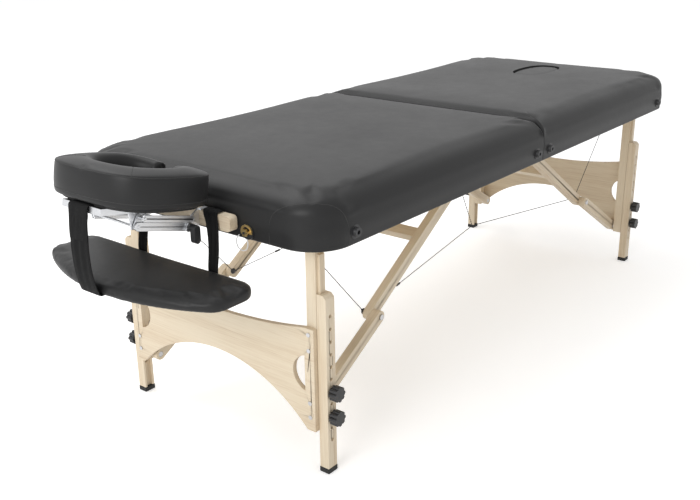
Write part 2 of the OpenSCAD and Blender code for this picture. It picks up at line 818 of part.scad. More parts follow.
module foot_far_extension() color(wood) foot() extension();
module foot_far_foot() color(plastic) foot() rubber_foot();
module head_near_upper_knob() color(plastic) head() near() knob(knob_zs[1]);
module head_near_lower_knob() color(plastic) head() near() knob(knob_zs[0]);
module head_far_upper_knob() color(plastic) head() knob(knob_zs[1]);
module head_far_lower_knob() color(plastic) head() knob(knob_zs[0]);
module foot_near_upper_knob() color(plastic) foot() near() knob(knob_zs[1]);
module foot_near_lower_knob() color(plastic) foot() near() knob(knob_zs[0]);
module foot_far_upper_knob() color(plastic) foot() knob(knob_zs[1]);
module foot_far_lower_knob() color(plastic) foot() knob(knob_zs[0]);
module cradle_crossbar() color(wood) head() crossbar();
module cradle_brackets() color(alu) head() bracket_cheeks();
module cradle_arms() color(alu) head() arms();
module cradle_top_links() color(alu) head() top_links();
module cradle_knuckles() color(alu) head() knuckles();
module cradle_lever() color(plastic) head() lever();
module cradle_platform() color(alu) head() platform();
module face_cushion() color(vinyl) head() cushion_face();
module arm_shelf() color(vinyl) head() shelf();
module front_strap() color(plastic) head() strap_front();
module rear_straps() color(plastic) head() straps_rear();

head_frame();
head_deck();
head_pad();
head_side_sockets();
head_hinge_leaves();
head_pivot_brackets();
latch_bases();
latch_hook_near();
latch_hook_far();
centre_cables();
foot_frame();
foot_deck();
foot_pad();
foot_side_sockets();
foot_hinge_leaves();
foot_pivot_brackets();
breath_plug();
head_legs();
head_end_panel();
head_leg_fasteners();
foot_legs();
foot_end_panel();
foot_leg_fasteners();
head_upper_braces();
head_brace_crossbar();
head_outer_cables();
foot_upper_braces();
foot_brace_crossbar();
foot_outer_cables();
head_lower_braces();
head_elbow_bolts();
foot_lower_braces();
foot_elbow_bolts();
head_near_extension();
head_near_foot();
head_far_extension();
head_far_foot();
foot_near_extension();
foot_near_foot();
foot_far_extension();
foot_far_foot();
head_near_upper_knob();
head_near_lower_knob();
head_far_upper_knob();
head_far_lower_knob();
foot_near_upper_knob();
foot_near_lower_knob();
foot_far_upper_knob();
foot_far_lower_knob();
cradle_crossbar();
cradle_brackets();
cradle_arms();
cradle_top_links();
cradle_knuckles();
cradle_lever();
cradle_platform();
face_cushion();
arm_shelf();
front_strap();
rear_straps();
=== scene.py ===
# %% [markdown]
# # A portable massage table
# The table is two padded halves that fold on a hinge, standing on four wooden legs with cable-tied braces.
# A face cushion and an arm shelf hang on the head end. The exact hard parts come in as a frame: every
# wooden, metal and moulded part is already at its real size and only needs its finish. Everything soft, and
# every cable, is modelled here over the frame's plain stand-ins.

import math

import bpy
import bmesh
import numpy as np
from mathutils import Matrix, Vector
from mathutils.bvhtree import BVHTree


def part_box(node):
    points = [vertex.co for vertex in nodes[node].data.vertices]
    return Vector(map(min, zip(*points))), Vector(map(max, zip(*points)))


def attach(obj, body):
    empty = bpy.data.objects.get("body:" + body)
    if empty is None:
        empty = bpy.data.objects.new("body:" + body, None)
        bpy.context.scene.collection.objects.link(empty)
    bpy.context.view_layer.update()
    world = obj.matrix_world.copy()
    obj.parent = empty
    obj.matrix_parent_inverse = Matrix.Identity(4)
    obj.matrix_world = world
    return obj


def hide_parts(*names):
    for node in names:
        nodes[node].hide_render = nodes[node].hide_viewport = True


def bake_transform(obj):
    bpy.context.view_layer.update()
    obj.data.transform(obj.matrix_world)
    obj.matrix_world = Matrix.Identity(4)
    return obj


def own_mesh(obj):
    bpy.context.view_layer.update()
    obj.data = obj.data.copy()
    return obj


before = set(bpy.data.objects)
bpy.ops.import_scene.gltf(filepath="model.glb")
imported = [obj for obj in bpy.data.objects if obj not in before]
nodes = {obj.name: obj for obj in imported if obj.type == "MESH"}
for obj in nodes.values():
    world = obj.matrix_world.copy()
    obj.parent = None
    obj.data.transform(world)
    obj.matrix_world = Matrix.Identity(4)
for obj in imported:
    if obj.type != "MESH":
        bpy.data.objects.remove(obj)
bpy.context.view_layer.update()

# %% [markdown]
# ## Camera
# The camera stands at the head end, a little above the top, and looks along the table. A lens is a focal
# length over a sensor width, so a lens solved in image widths is entered as millimetres on a 36 mm sensor.
# The direction is built from three axes.

# %% Camera
CAMERA_PLACE = Vector((-2.0574, -1.4569, 1.1836))
AZIMUTH, PITCH, ROLL = 0.670, 0.353, -0.011
LENS_WIDTHS = 914.4 / 700
forward = Vector((math.cos(AZIMUTH) * math.cos(PITCH), math.sin(AZIMUTH) * math.cos(PITCH), -math.sin(PITCH)))
level = Vector((math.sin(AZIMUTH), -math.cos(AZIMUTH), 0))
over = level.cross(forward)
right = math.cos(ROLL) * level + math.sin(ROLL) * over
up = -math.sin(ROLL) * level + math.cos(ROLL) * over
lens = bpy.data.cameras.new("studio_camera")
lens.sensor_width = 36
lens.lens = LENS_WIDTHS * 36
lens.clip_end = 60
camera = bpy.data.objects.new("studio_camera", lens)
bpy.context.scene.collection.objects.link(camera)
camera.matrix_world = Matrix((
    (right.x, up.x, -forward.x, CAMERA_PLACE.x),
    (right.y, up.y, -forward.y, CAMERA_PLACE.y),
    (right.z, up.z, -forward.z, CAMERA_PLACE.z),
    (0, 0, 0, 1)))
bpy.context.scene.camera = camera
print("camera lens", round(lens.lens, 2), "mm")

# %% [markdown]
# ## A small language for shader maths
# Node trees get long when every sum is a node made by hand. One class wraps a socket and overloads the
# operators, so that a mask can be written as `1 - mask * 0.5`. A second class makes a material and any
# other node from its type, settings and sockets.

# %% Shader helpers
class Value:
    """A number, colour or vector that flows through a node tree."""

    def __init__(self, paint, socket):
        self.paint, self.socket = paint, socket

    def _math(self, kind, other=None, swap=False):
        pair = [self] if other is None else ([other, self] if swap else [self, other])
        return self.paint.node("ShaderNodeMath", {"operation": kind}, dict(enumerate(pair)))

    def __add__(self, o): return self._math("ADD", o)
    def __radd__(self, o): return self._math("ADD", o, True)
    def __sub__(self, o): return self._math("SUBTRACT", o)
    def __rsub__(self, o): return self._math("SUBTRACT", o, True)
    def __mul__(self, o): return self._math("MULTIPLY", o)
    def __rmul__(self, o): return self._math("MULTIPLY", o, True)
    def sin(self): return self._math("SINE")
    def abs(self): return self._math("ABSOLUTE")

    def step(self, low, high):
        """0 below low, 1 above high, smooth between."""
        return self.paint.node("ShaderNodeMapRange", {"interpolation_type": "SMOOTHSTEP"},
                               {"Value": self, "From Min": low, "From Max": high})


class Paint:
    """A material in the making."""

    def __init__(self, name, **fixed):
        self.material = bpy.data.materials.new(name)
        self.material.use_nodes = True
        self.tree = self.material.node_tree
        self.shader = self.tree.nodes["Principled BSDF"]
        for key, value in fixed.items():
            self.shader.inputs[key.replace("_", " ")].default_value = value

    def node(self, kind, settings=None, sockets=None, out=0):
        made = self.tree.nodes.new(kind)
        for key, value in (settings or {}).items():
            if key == "stops":
                ramp = made.color_ramp
                while len(ramp.elements) < len(value):
                    ramp.elements.new(0.5)
                for stop, (place, colour) in zip(ramp.elements, value):
                    stop.position, stop.color = place, (*colour, 1)
            else:
                setattr(made, key, value)
        for key, value in (sockets or {}).items():
            if isinstance(value, Value):
                self.tree.links.new(value.socket, made.inputs[key])
            else:
                made.inputs[key].default_value = value
        return Value(self, made.outputs[out])

    def place(self):
        return self.node("ShaderNodeTexCoord", out="Object")

    def turned(self, where, turn=(0, 0, 0), size=(1, 1, 1)):
        """Turns a pattern first and then stretches it."""
        flat = self.node("ShaderNodeMapping", {}, {"Vector": where, "Rotation": turn})
        return self.node("ShaderNodeMapping", {}, {"Vector": flat, "Scale": size})

    def part(self, vector, axis):
        return self.node("ShaderNodeSeparateXYZ", {}, {0: vector}, out=axis)

    def noise(self, where, scale, detail=3.0, rough=0.5):
        return self.node("ShaderNodeTexNoise", {}, {"Vector": where, "Scale": scale, "Detail": detail,
                                                    "Roughness": rough})

    def mix(self, factor, a, b):
        return self.node("ShaderNodeMix", {"data_type": "RGBA"}, {0: factor, 6: colour(a), 7: colour(b)}, out=2)

    def finish(self, bump=None, strength=0.3, depth=0.001, **links):
        for key, value in links.items():
            self.tree.links.new(value.socket, self.shader.inputs[key.replace("_", " ")])
        if bump is not None:
            normal = self.node("ShaderNodeBump", {}, {"Height": bump, "Strength": strength, "Distance": depth})
            self.tree.links.new(normal.socket, self.shader.inputs["Normal"])
        return self.material


def colour(c):
    return (*c, 1) if isinstance(c, tuple) and len(c) == 3 else c


print("shader helpers ready")

# %% [markdown]
# ## Vinyl
# Upholstery vinyl is a dark grey-black with a soft sheen. Its embossed grain is about a millimetre wide,
# like small cells, and slow waves in the gloss come from the foam under it. Cells come from a Voronoi
# texture, and the waves from a large noise.

# %% Vinyl materials
def vinyl(name, tone, gloss):
    p = Paint(name, IOR=1.45, Specular_IOR_Level=0.24)
    where = p.place()
    cells = p.node("ShaderNodeTexVoronoi", {"feature": "SMOOTH_F1"},
                   {"Vector": where, "Scale": 620.0, "Smoothness": 0.7})
    wrinkle = p.noise(where, 240.0, 3.0, 0.6)
    wave = p.noise(where, 5.0, 2.0)
    dust = p.noise(where, 34.0, 4.0, 0.65)
    base = p.mix(wave * 0.6 + dust * 0.4, tuple(tone * k for k in (0.86, 0.86, 0.87)),
                 tuple(tone * k for k in (1.13, 1.13, 1.15)))
    rough = gloss + (wave - 0.5) * 0.12 + (dust - 0.5) * 0.08
    return p.finish(bump=cells * 0.7 + wrinkle * 0.5, strength=0.16, depth=0.0006, Base_Color=base, Roughness=rough)


VINYL = vinyl("black_vinyl", 0.019, 0.41)
SEAM = Paint("seam_thread", Roughness=0.7)
thread = SEAM.noise(SEAM.place(), 900.0)
SEAM = SEAM.finish(Base_Color=SEAM.mix(thread, (0.008, 0.008, 0.008), (0.03, 0.03, 0.03)), bump=thread, strength=0.4)
print("vinyl:", VINYL.name, "seam:", SEAM.name)

# %% [markdown]
# ## Wood
# The legs, braces and panels are a pale, fine-grained hardwood under clear lacquer. The grain runs along
# each bar, so the pattern is turned to lie along the piece and stretched forty times longer than it is
# wide. Panels are plywood, whose cut edges show the plies as thin dark lines; those are drawn only where
# the surface faces along the sheet.

# %% Wood materials
PALE, WARM, DARK = (0.72, 0.615, 0.460), (0.64, 0.52, 0.37), (0.47, 0.345, 0.22)


def wood(name, turn=(0, 0, 0), plies=None):
    p = Paint(name, Specular_IOR_Level=0.45, Coat_Roughness=0.25)
    where = p.place()
    along = p.turned(where, turn, (1.1, 42.0, 42.0))
    fibre = p.noise(along, 9.0, 6.0, 0.62)
    band = p.noise(p.turned(where, turn, (0.5, 9.0, 9.0)), 3.0, 2.0)
    pores = p.noise(p.turned(where, turn, (6.0, 260.0, 260.0)), 5.0, 2.0).step(0.62, 0.74)
    tone = fibre * 0.55 + band * 0.45
    stops = [(0.30, DARK), (0.40, WARM), (0.54, PALE), (0.74, (0.76, 0.665, 0.515))]
    base = p.node("ShaderNodeValToRGB", {"stops": stops}, {"Fac": tone})
    base = p.mix(pores * 0.22, base, DARK)
    if plies:
        axis, start, pitch = plies
        facing = p.part(p.node("ShaderNodeTexCoord", out="Normal"), axis).abs()
        stripe = ((p.part(where, axis) - start) * (math.pi / pitch)).sin().abs().step(0.25, 0.55)
        base = p.mix((1 - facing.step(0.4, 0.7)) * (1 - stripe) * 0.6, base, (0.40, 0.26, 0.15))
    return p.finish(bump=fibre - pores * 0.6, strength=0.10, depth=0.0005, Base_Color=base,
                    Roughness=0.36 + fibre * 0.16)


WOOD_LONG = wood("birch_lengthwise")
WOOD_ACROSS = wood("birch_across", (0, 0, math.pi / 2))
WOOD_UPRIGHT = wood("birch_upright", (0, math.pi / 2, 0))
print("wood:", WOOD_LONG.name, WOOD_ACROSS.name, WOOD_UPRIGHT.name)

# %% [markdown]
# ## Plastic, rubber, metal and webbing
# Moulded plastic has a faint spark-eroded texture, zinc plating is mottled, anodised aluminium is brushed
# along its length, and nylon webbing is a tight diagonal weave. Each gets its pattern at the real scale,
# mostly in the roughness and the bump.

# %% Hard finishes
def speckled(name, dark, light, low, high, scale, metal=0.0, stretch=(1, 1, 1), strength=0.15, **fixed):
    p = Paint(name, Metallic=metal, **fixed)
    where = p.turned(p.place(), (0, 0, 0), stretch)
    fine, broad = p.noise(where, scale, 4.0, 0.6), p.noise(p.place(), 28.0, 3.0)
    base = p.mix(fine * 0.5 + broad * 0.5, dark, light)
    return p.finish(bump=fine, strength=strength, depth=0.0004, Base_Color=base,
                    Roughness=low + (high - low) * (fine * 0.6 + broad * 0.4))


PLASTIC = speckled("moulded_plastic", (0.010, 0.010, 0.011), (0.024, 0.024, 0.026), 0.32, 0.58, 700.0)
RUBBER = speckled("foot_rubber", (0.008, 0.008, 0.008), (0.022, 0.022, 0.021), 0.62, 0.9, 420.0, strength=0.3)
ZINC = speckled("zinc_plate", (0.42, 0.42, 0.43), (0.66, 0.66, 0.67), 0.22, 0.5, 260.0, 1.0)
ALUMINIUM = speckled("brushed_aluminium", (0.62, 0.63, 0.65), (0.82, 0.83, 0.85), 0.25, 0.48, 240.0, 1.0, (0.06, 1, 1))
BRASS = speckled("plain_brass", (0.42, 0.29, 0.11), (0.68, 0.52, 0.24), 0.2, 0.46, 200.0, 1.0)
CABLE = speckled("cable_steel", (0.02, 0.02, 0.021), (0.055, 0.055, 0.058), 0.4, 0.6, 500.0, 0.25)
CLEAR = speckled("milky_plastic", (0.62, 0.62, 0.62), (0.8, 0.8, 0.8), 0.25, 0.4, 200.0)


def webbing():
    p = Paint("black_webbing", Roughness=0.8, Specular_IOR_Level=0.10)
    uv = p.node("ShaderNodeUVMap", {"uv_map": "cloth"})
    u, v = p.part(uv, 0), p.part(uv, 1)
    weave = (((u + v) * 2600.0).sin() * ((u - v) * 2600.0).sin()) * 0.5 + 0.5
    fuzz = p.noise(p.place(), 800.0)
    base = p.mix(weave * 0.7 + fuzz * 0.3, (0.004, 0.004, 0.004), (0.017, 0.017, 0.0175))
    return p.finish(bump=weave + fuzz * 0.4, strength=0.5, depth=0.0005, Base_Color=base, Roughness=0.66 + weave * 0.2)


WEBBING = webbing()
print("hard finishes:", PLASTIC.name, RUBBER.name, ZINC.name, ALUMINIUM.name, BRASS.name, CABLE.name, WEBBING.name)

# %% [markdown]
# ## Dress the frame
# The frame's own parts keep their shape. Real bars and boards have their edges broken by sandpaper, and
# even a tiny rounding catches a line of light, so a weld and a bevel modifier are laid over them without
# touching their meshes.

# %% Finish for each frame part
def dress(names, material, round_edge=0.0, segments=2):
    for name in names.split():
        part = nodes[name]
        part.data.materials.clear()
        part.data.materials.append(material)
        if round_edge:
            weld = part.modifiers.new("weld", "WELD")
            weld.merge_threshold = 0.00001
            soften = part.modifiers.new("broken_edge", "BEVEL")
            soften.width, soften.segments = round_edge, segments
            soften.limit_method, soften.angle_limit = "ANGLE", math.radians(38)
            soften.use_clamp_overlap = True


def brace_wood(name, node, sign):
    low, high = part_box(node)
    tilt = math.atan2(high.z - low.z, high.x - low.x)
    return wood(name, (0, sign * tilt, 0))


SHIFT = 0.1355         # the origin lies under the middle of the whole box, the fold at this X
TILT = math.radians(10.5)
FACE_X, FACE_Z = -1.071 + SHIFT, 0.646


def board_on_bars():
    """Brushed bars below, and the cushion's black board above a tilted plane."""
    p = Paint("board_and_bars")
    where = p.place()
    height = (p.part(where, 0) - FACE_X) * math.sin(TILT) + (p.part(where, 2) - FACE_Z) * math.cos(TILT)
    board = height.step(-0.0064, -0.0060)
    brushed = p.noise(p.turned(where, (0, 0, 0), (0.06, 1, 1)), 240.0, 4.0, 0.6)
    metal = p.mix(brushed, (0.62, 0.63, 0.65), (0.82, 0.83, 0.85))
    return p.finish(bump=brushed, strength=0.15, depth=0.0004, Base_Color=p.mix(board, metal, (0.012, 0.012, 0.012)),
                    Metallic=1 - board, Roughness=0.25 + brushed * 0.2 + board * 0.35)


for end, sign in (("head", 1), ("foot", -1)):
    dress(f"{end}_legs {end}_near_extension {end}_far_extension", WOOD_UPRIGHT, 0.0012)
    dress(f"{end}_brace_crossbar", WOOD_ACROSS, 0.0012)
    dress(f"{end}_frame", WOOD_LONG, 0.0008)
    dress(f"{end}_deck", wood(f"{end}_deck_ply", plies=(2, 0.610, 0.0015)), 0)
    panel_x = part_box(f"{end}_end_panel")[0].x
    dress(f"{end}_end_panel", wood(f"{end}_panel_ply", (0, 0, math.pi / 2), plies=(0, panel_x, 0.0024)), 0.0008)
    for span in ("upper", "lower"):
        dress(f"{end}_{span}_braces", brace_wood(f"{end}_{span}_brace_wood", f"{end}_{span}_braces", sign), 0.0012)
    dress(f"{end}_leg_fasteners {end}_hinge_leaves {end}_pivot_brackets {end}_elbow_bolts", ZINC, 0.0004, 1)
    dress(f"{end}_side_sockets", PLASTIC, 0.0009)
    for side in ("near", "far"):
        dress(f"{end}_{side}_foot", RUBBER, 0.002, 3)
        dress(f"{end}_{side}_upper_knob {end}_{side}_lower_knob", PLASTIC, 0.0018, 3)
dress("latch_bases cradle_lever", PLASTIC, 0.0012, 3)
dress("latch_hook_near latch_hook_far", BRASS, 0.0004)
dress("cradle_crossbar", WOOD_ACROSS, 0.0015)
dress("cradle_brackets cradle_arms cradle_top_links cradle_knuckles", ALUMINIUM, 0.0005)
dress("cradle_platform", board_on_bars(), 0.0005)
print("dressed", sum(1 for n in nodes.values() if n.modifiers), "parts with broken edges")

# %% [markdown]
# ## Tools for soft pieces
# A padded top is easiest to control as a stack of closed rings, each a rounded rectangle a little smaller
# or higher than the last. The rings join into quads, which a cloth simulation then swells a little, as foam
# swells its cover.

# %% Mesh helpers
def as_object(name, points, faces, material=None, uvs=None):
    mesh = bpy.data.meshes.new(name)
    mesh.from_pydata([tuple(p) for p in points], [], faces)
    made = bpy.data.objects.new(name, mesh)
    bpy.context.scene.collection.objects.link(made)
    if material:
        mesh.materials.append(material)
    if uvs is not None:
        layer = mesh.uv_layers.new(name="cloth")
        for loop in mesh.loops:
            layer.data[loop.index].uv = uvs[loop.vertex_index]
    return made


def tidy(obj, sharp=50):
    """Normals outwards, smooth faces, and edges kept sharp above an angle."""
    b = bmesh.new()
    b.from_mesh(obj.data)
    bmesh.ops.remove_doubles(b, verts=b.verts, dist=1e-6)
    bmesh.ops.recalc_face_normals(b, faces=b.faces)
    b.to_mesh(obj.data)
    b.free()
    obj.data.shade_smooth()
    obj.data.set_sharp_from_angle(angle=math.radians(sharp))
    return obj


def rings_to_faces(count, size, loop_rings=False):
    """Quads between a stack of rings of one size."""
    last = count if loop_rings else count - 1
    return [(k * size + i, k * size + (i + 1) % size,
             (k + 1) % count * size + (i + 1) % size, (k + 1) % count * size + i)
            for k in range(last) for i in range(size)]


def straight(a, b, n):
    return [a + (b - a) * i / n for i in range(n)]


def arc(centre, r, start, stop, n):
    return [(centre[0] + r * math.cos(math.radians(t)), centre[1] + r * math.sin(math.radians(t)))
            for t in straight(start, stop, n)]


def baked(obj):
    """The object's evaluated shape as a plain mesh, with its modifiers gone."""
    shape = bpy.data.meshes.new_from_object(obj.evaluated_get(bpy.context.evaluated_depsgraph_get()))
    obj.modifiers.clear()
    obj.data = shape
    return obj


def swell(obj, held, pressure, cap, frames=20, stiff=40.0):
    """Cloth under air pressure. held gives each point's pin weight, and cap is how far any point may move."""
    rest = np.array([v.co for v in obj.data.vertices])
    pins = obj.vertex_groups.new(name="held")
    for v in obj.data.vertices:
        pins.add([v.index], held(v.co), "REPLACE")
    cloth = obj.modifiers.new("cloth", "CLOTH")
    s = cloth.settings
    s.use_pressure, s.uniform_pressure_force, s.effector_weights.gravity = True, pressure, 0.0
    s.vertex_group_mass, s.quality, s.mass = "held", 5, 0.4
    s.tension_stiffness = s.compression_stiffness = stiff
    s.bending_stiffness = 2.0
    cloth.collision_settings.use_collision = False
    scene = bpy.context.scene
    scene.frame_start, scene.frame_end = 1, frames
    cloth.point_cache.frame_end = frames
    for f in range(1, frames + 1):
        scene.frame_set(f)
    baked(obj)
    scene.frame_set(1)
    now = np.array([v.co for v in obj.data.vertices])
    move = now - rest
    far = np.linalg.norm(move, axis=1, keepdims=True)
    now = rest + move * np.minimum(1.0, cap / np.maximum(far, 1e-9))
    obj.data.vertices.foreach_set("co", now.ravel())
    obj.data.update()
    print(obj.name, "swelled, largest move", round(float(far.max()) * 1000, 1), "mm before the cap")
    return obj


# %% [markdown]
# ## The two padded tops
# Each half is upholstered in one piece of vinyl that runs over 50 mm of foam, down the wooden rail and
# under its edge. The outer edges are rounded on a big radius and the edge at the fold on a small one, which
# is why each ring has its own inset there.

# %% Rings of a padded top
HALF_L, HALF_W = 0.927, 0.381
RAIL_Z, PAD_Z, TOP_Z = 0.555, 0.616, 0.667
CORNER_R = 0.090
N_LONG, N_WIDE, N_CORNER = 58, 46, 12


def top_ring(inset, seam_inset, z):
    x0, x1, y = -HALF_L + inset, -0.0004 - seam_inset, HALF_W - inset
    # Beside the fold the cover is tight round the rail's square corner, and loosens over the foam.
    loose = min(1.0, max(0.0, (z - PAD_Z) / 0.020))
    r0, r1 = max(CORNER_R - inset * 0.9, 0.012), 0.002 + loose * max(0.008 - seam_inset * 0.2, 0.004)
    ring = [(x, -y) for x in straight(x0 + r0, x1 - r1, N_LONG)]
    ring += arc((x1 - r1, -y + r1), r1, -90, 0, N_CORNER)
    ring += [(x1, v) for v in straight(-y + r1, y - r1, N_WIDE)]
    ring += arc((x1 - r1, y - r1), r1, 0, 90, N_CORNER)
    ring += [(x, y) for x in straight(x1 - r1, x0 + r0, N_LONG)]
    ring += arc((x0 + r0, y - r0), r0, 90, 180, N_CORNER)
    ring += [(x0, v) for v in straight(y - r0, -y + r0, N_WIDE)]
    ring += arc((x0 + r0, -y + r0), r0, 180, 270, N_CORNER)
    return [(px, py, z) for px, py in ring]


def top_profile():
    """(inset, inset at the fold, height) from the hidden underside round to the middle of the top."""
    under = [(0.34, 0.2, PAD_Z + 0.0006), (0.05, 0.03, PAD_Z + 0.0006), (-0.0004, -0.0001, PAD_Z + 0.0006),
             (-0.0004, -0.0001, RAIL_Z - 0.0004), (0.016, 0.012, RAIL_Z - 0.0004), (0.016, 0.012, RAIL_Z - 0.0014),
             (0.001, 0.001, RAIL_Z - 0.0016), (-0.0010, -0.0002, RAIL_Z - 0.0002), (-0.0014, -0.0004, RAIL_Z + 0.002)]
    wall = [(-0.0014 - 0.0026 * math.sin(math.pi * k / 12) ** 2, -0.0004, RAIL_Z + 0.002 + 0.0655 * k / 12)
            for k in range(1, 12)]
    big, small, lift = 0.045, 0.015, 0.0435
    last_big, last_small = 0.362, 0.30      # the insets of the crown's last ring
    curve = []
    for k in range(15):
        t = math.radians(90 * k / 14)
        curve.append((big * (1 - math.cos(t)) - 0.0014, small * (1 - math.cos(t)) - 0.0004,
                      TOP_Z - lift + (lift - 0.003) * math.sin(t)))
    crown = []
    for k in range(1, 27):
        s = k / 26
        crown.append((big + (last_big - big) * s, small + (last_small - small) * s,
                      TOP_Z - 0.003 + 0.003 * math.sin(min(1, s * 2.2) * math.pi / 2)))
    return under + wall + curve + crown


profile = top_profile()
RING = 2 * N_LONG + 2 * N_WIDE + 4 * N_CORNER
print("top profile:", len(profile), "rings of", RING, "points")

# %% [markdown]
# The last ring is a narrow strip along the middle and the first one is hidden on the deck; both are closed
# with a strip of quads between their two long sides. The foot half is the head half mirrored, and gets its
# breath hole cut afterwards.

# %% Build and swell the tops
def strip_cap(first, flip):
    """Closes a long thin ring with quads across it."""
    ids = [first + i for i in range(RING)]
    near_side, far_side = ids[:N_LONG + 1], ids[N_LONG + N_CORNER + N_WIDE + N_CORNER:][:N_LONG + 1]
    far_side = far_side[::-1]
    quads = [(near_side[i], near_side[i + 1], far_side[i + 1], far_side[i]) for i in range(N_LONG)]
    fold_end = ids[N_LONG:N_LONG + N_CORNER + N_WIDE + N_CORNER + 1]
    head_end = ids[2 * N_LONG + N_CORNER * 2 + N_WIDE:] + [ids[0]]
    faces = quads + [tuple(fold_end), tuple(head_end)]
    return [f[::-1] for f in faces] if flip else faces


def padded_top(name, mirrored):
    points = [p for row in profile for p in top_ring(*row)]
    faces = rings_to_faces(len(profile), RING) + strip_cap(0, True) + strip_cap((len(profile) - 1) * RING, False)
    side = -1 if mirrored else 1
    made = as_object(name, [(side * x + SHIFT, y, z) for x, y, z in points], faces, VINYL)
    tidy(made, 60)
    swell(made, lambda co: 1.0 if co.z < 0.6185 else max(0.0, 0.35 - (co.z - 0.6185) * 10), 1.6, 0.0042)
    made.data.shade_smooth()
    made.data.set_sharp_from_angle(angle=math.radians(60))
    return made


head_top = padded_top("head_top", False)
foot_top = padded_top("foot_top", True)
print("tops:", len(head_top.data.vertices), "points each")

# %% [markdown]
# ## Breath hole and its plug
# The foot half has an oval hole to breathe through, filled with a small padded plug of the same vinyl. The
# hole is cut with a boolean, because its outline crosses the top's quads at every angle.

# %% Cut the breath hole
PLUG_X, PLUG_A, PLUG_B, PLUG_N = 0.690, 0.110, 0.058, 2.5


def oval(a, b, n, count):
    out = []
    for i in range(count):
        t = 2 * math.pi * i / count
        c, s = math.cos(t), math.sin(t)
        out.append((a * math.copysign(abs(c) ** (2 / n), c), b * math.copysign(abs(s) ** (2 / n), s)))
    return out


def oval_stack(name, rows, material, x=PLUG_X + SHIFT, count=72):
    points = []
    for grow, z in rows:
        points += [(x + px, py, z) for px, py in oval(PLUG_A + grow, PLUG_B + grow, PLUG_N, count)]
    faces = rings_to_faces(len(rows), count)
    for row in (0, len(rows) - 1):
        points.append((x, 0, rows[row][1]))
        first, middle = row * count, len(points) - 1
        faces += [(first + i, first + (i + 1) % count, middle) for i in range(count)]
    return tidy(as_object(name, points, faces, material), 60)


cutter = oval_stack("hole_cutter", [(0.0012, 0.60), (0.0012, 0.6635), (0.0030, 0.70)], VINYL)
cut = foot_top.modifiers.new("breath_hole", "BOOLEAN")
cut.object, cut.operation, cut.solver = cutter, "DIFFERENCE", "EXACT"
baked(foot_top)
bpy.data.objects.remove(cutter)
foot_top.data.set_sharp_from_angle(angle=math.radians(60))
plug_section = [(-0.002, 0.6166), (-0.0004, 0.622), (0.0, 0.640), (-0.0002, 0.6585), (-0.0018, 0.6640),
                (-0.006, 0.6668), (-0.016, 0.6680), (-0.034, 0.6684)]
plug = oval_stack("breath_plug_pad", plug_section, VINYL)
print("breath hole cut, foot top now", len(foot_top.data.polygons), "faces")

# %% [markdown]
# ## Seams
# Where two panels of vinyl meet, the thread pulls them into a fine dark line. A seam here is a hair-thin
# tube laid on the surface: its route is snapped to the finished top, so it follows the swell.

# %% Tubes and seams
def frames_along(path):
    path = [Vector(p) for p in path]
    side = None
    out = []
    for i, p in enumerate(path):
        t = (path[min(i + 1, len(path) - 1)] - path[max(i - 1, 0)]).normalized()
        if side is None:
            side = t.orthogonal().normalized()
        side = (side - t * side.dot(t)).normalized()
        out.append((p, t, side, t.cross(side)))
    return out


def tube(name, path, radius, material, sides=8):
    points, faces = [], []
    for p, t, a, b in frames_along(path):
        points += [p + radius * (math.cos(k) * a + math.sin(k) * b)
                   for k in (2 * math.pi * i / sides for i in range(sides))]
    n = len(path)
    faces = rings_to_faces(n, sides) + [tuple(range(sides))[::-1], tuple((n - 1) * sides + i for i in range(sides))]
    return tidy(as_object(name, points, faces, material), 70)


def joined(name, parts):
    """One object from several, in the first one's place."""
    with bpy.context.temp_override(active_object=parts[0], selected_editable_objects=parts, selected_objects=parts):
        bpy.ops.object.join()
    parts[0].name = parts[0].data.name = name
    return parts[0]


def smooth_line(points, steps=8):
    """A curve through the points."""
    p = [Vector(q) for q in points]
    p = [2 * p[0] - p[1]] + p + [2 * p[-1] - p[-2]]
    out = []
    for i in range(1, len(p) - 2):
        a, b, c, d = p[i - 1:i + 3]
        for k in range(steps):
            t = k / steps
            out.append(0.5 * (2 * b + (c - a) * t + (2 * a - 5 * b + 4 * c - d) * t * t
                              + (3 * b - a - 3 * c + d) * t ** 3))
    return out + [p[-2]]


def snapped(points, tree, sink=0.0003):
    out = []
    for p in points:
        place, normal, _, _ = tree.find_nearest(Vector(p))
        out.append(place - normal * sink)
    return out


def tree_of(obj):
    return BVHTree.FromObject(obj, bpy.context.evaluated_depsgraph_get())


def corner_seam(top, name, sx, sy):
    """The curved edge of the patch over one outer corner, in the head half's near corner and mirrored from there."""
    route = [(-0.929, -0.248, 0.556), (-0.929, -0.249, 0.580), (-0.929, -0.252, 0.605), (-0.929, -0.262, 0.625),
             (-0.927, -0.282, 0.642), (-0.921, -0.306, 0.652), (-0.909, -0.334, 0.658), (-0.893, -0.357, 0.659),
             (-0.876, -0.372, 0.653), (-0.861, -0.381, 0.638), (-0.850, -0.384, 0.620), (-0.843, -0.384, 0.602),
             (-0.840, -0.384, 0.580), (-0.840, -0.384, 0.556)]
    line = smooth_line([(sx * x + SHIFT, sy * y, z) for x, y, z in route])
    return tube(name, snapped(line, tree_of(top)), 0.0009, SEAM, 6)


head_seams = joined("head_seams", [corner_seam(head_top, "seam_a", 1, 1), corner_seam(head_top, "seam_b", 1, -1)])
foot_seams = joined("foot_seams", [corner_seam(foot_top, "seam_c", -1, 1), corner_seam(foot_top, "seam_d", -1, -1)])
print("corner seams:", len(head_seams.data.vertices), "points at the head")

for piece, body in ((head_top, "head_half"), (head_seams, "head_half"), (foot_top, "foot_half"),
                    (foot_seams, "foot_half"), (plug, "breath_plug")):
    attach(piece, body)
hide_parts("head_pad")
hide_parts("foot_pad")
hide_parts("breath_plug")

# %% [markdown]
# ## Face cushion
# The cushion is a soft horseshoe whose opening faces the table. Its cross-section changes all the way
# round: wide at the front band and narrower at the arms. So it is lofted from sections that stand on rays
# from the middle of the face hole.

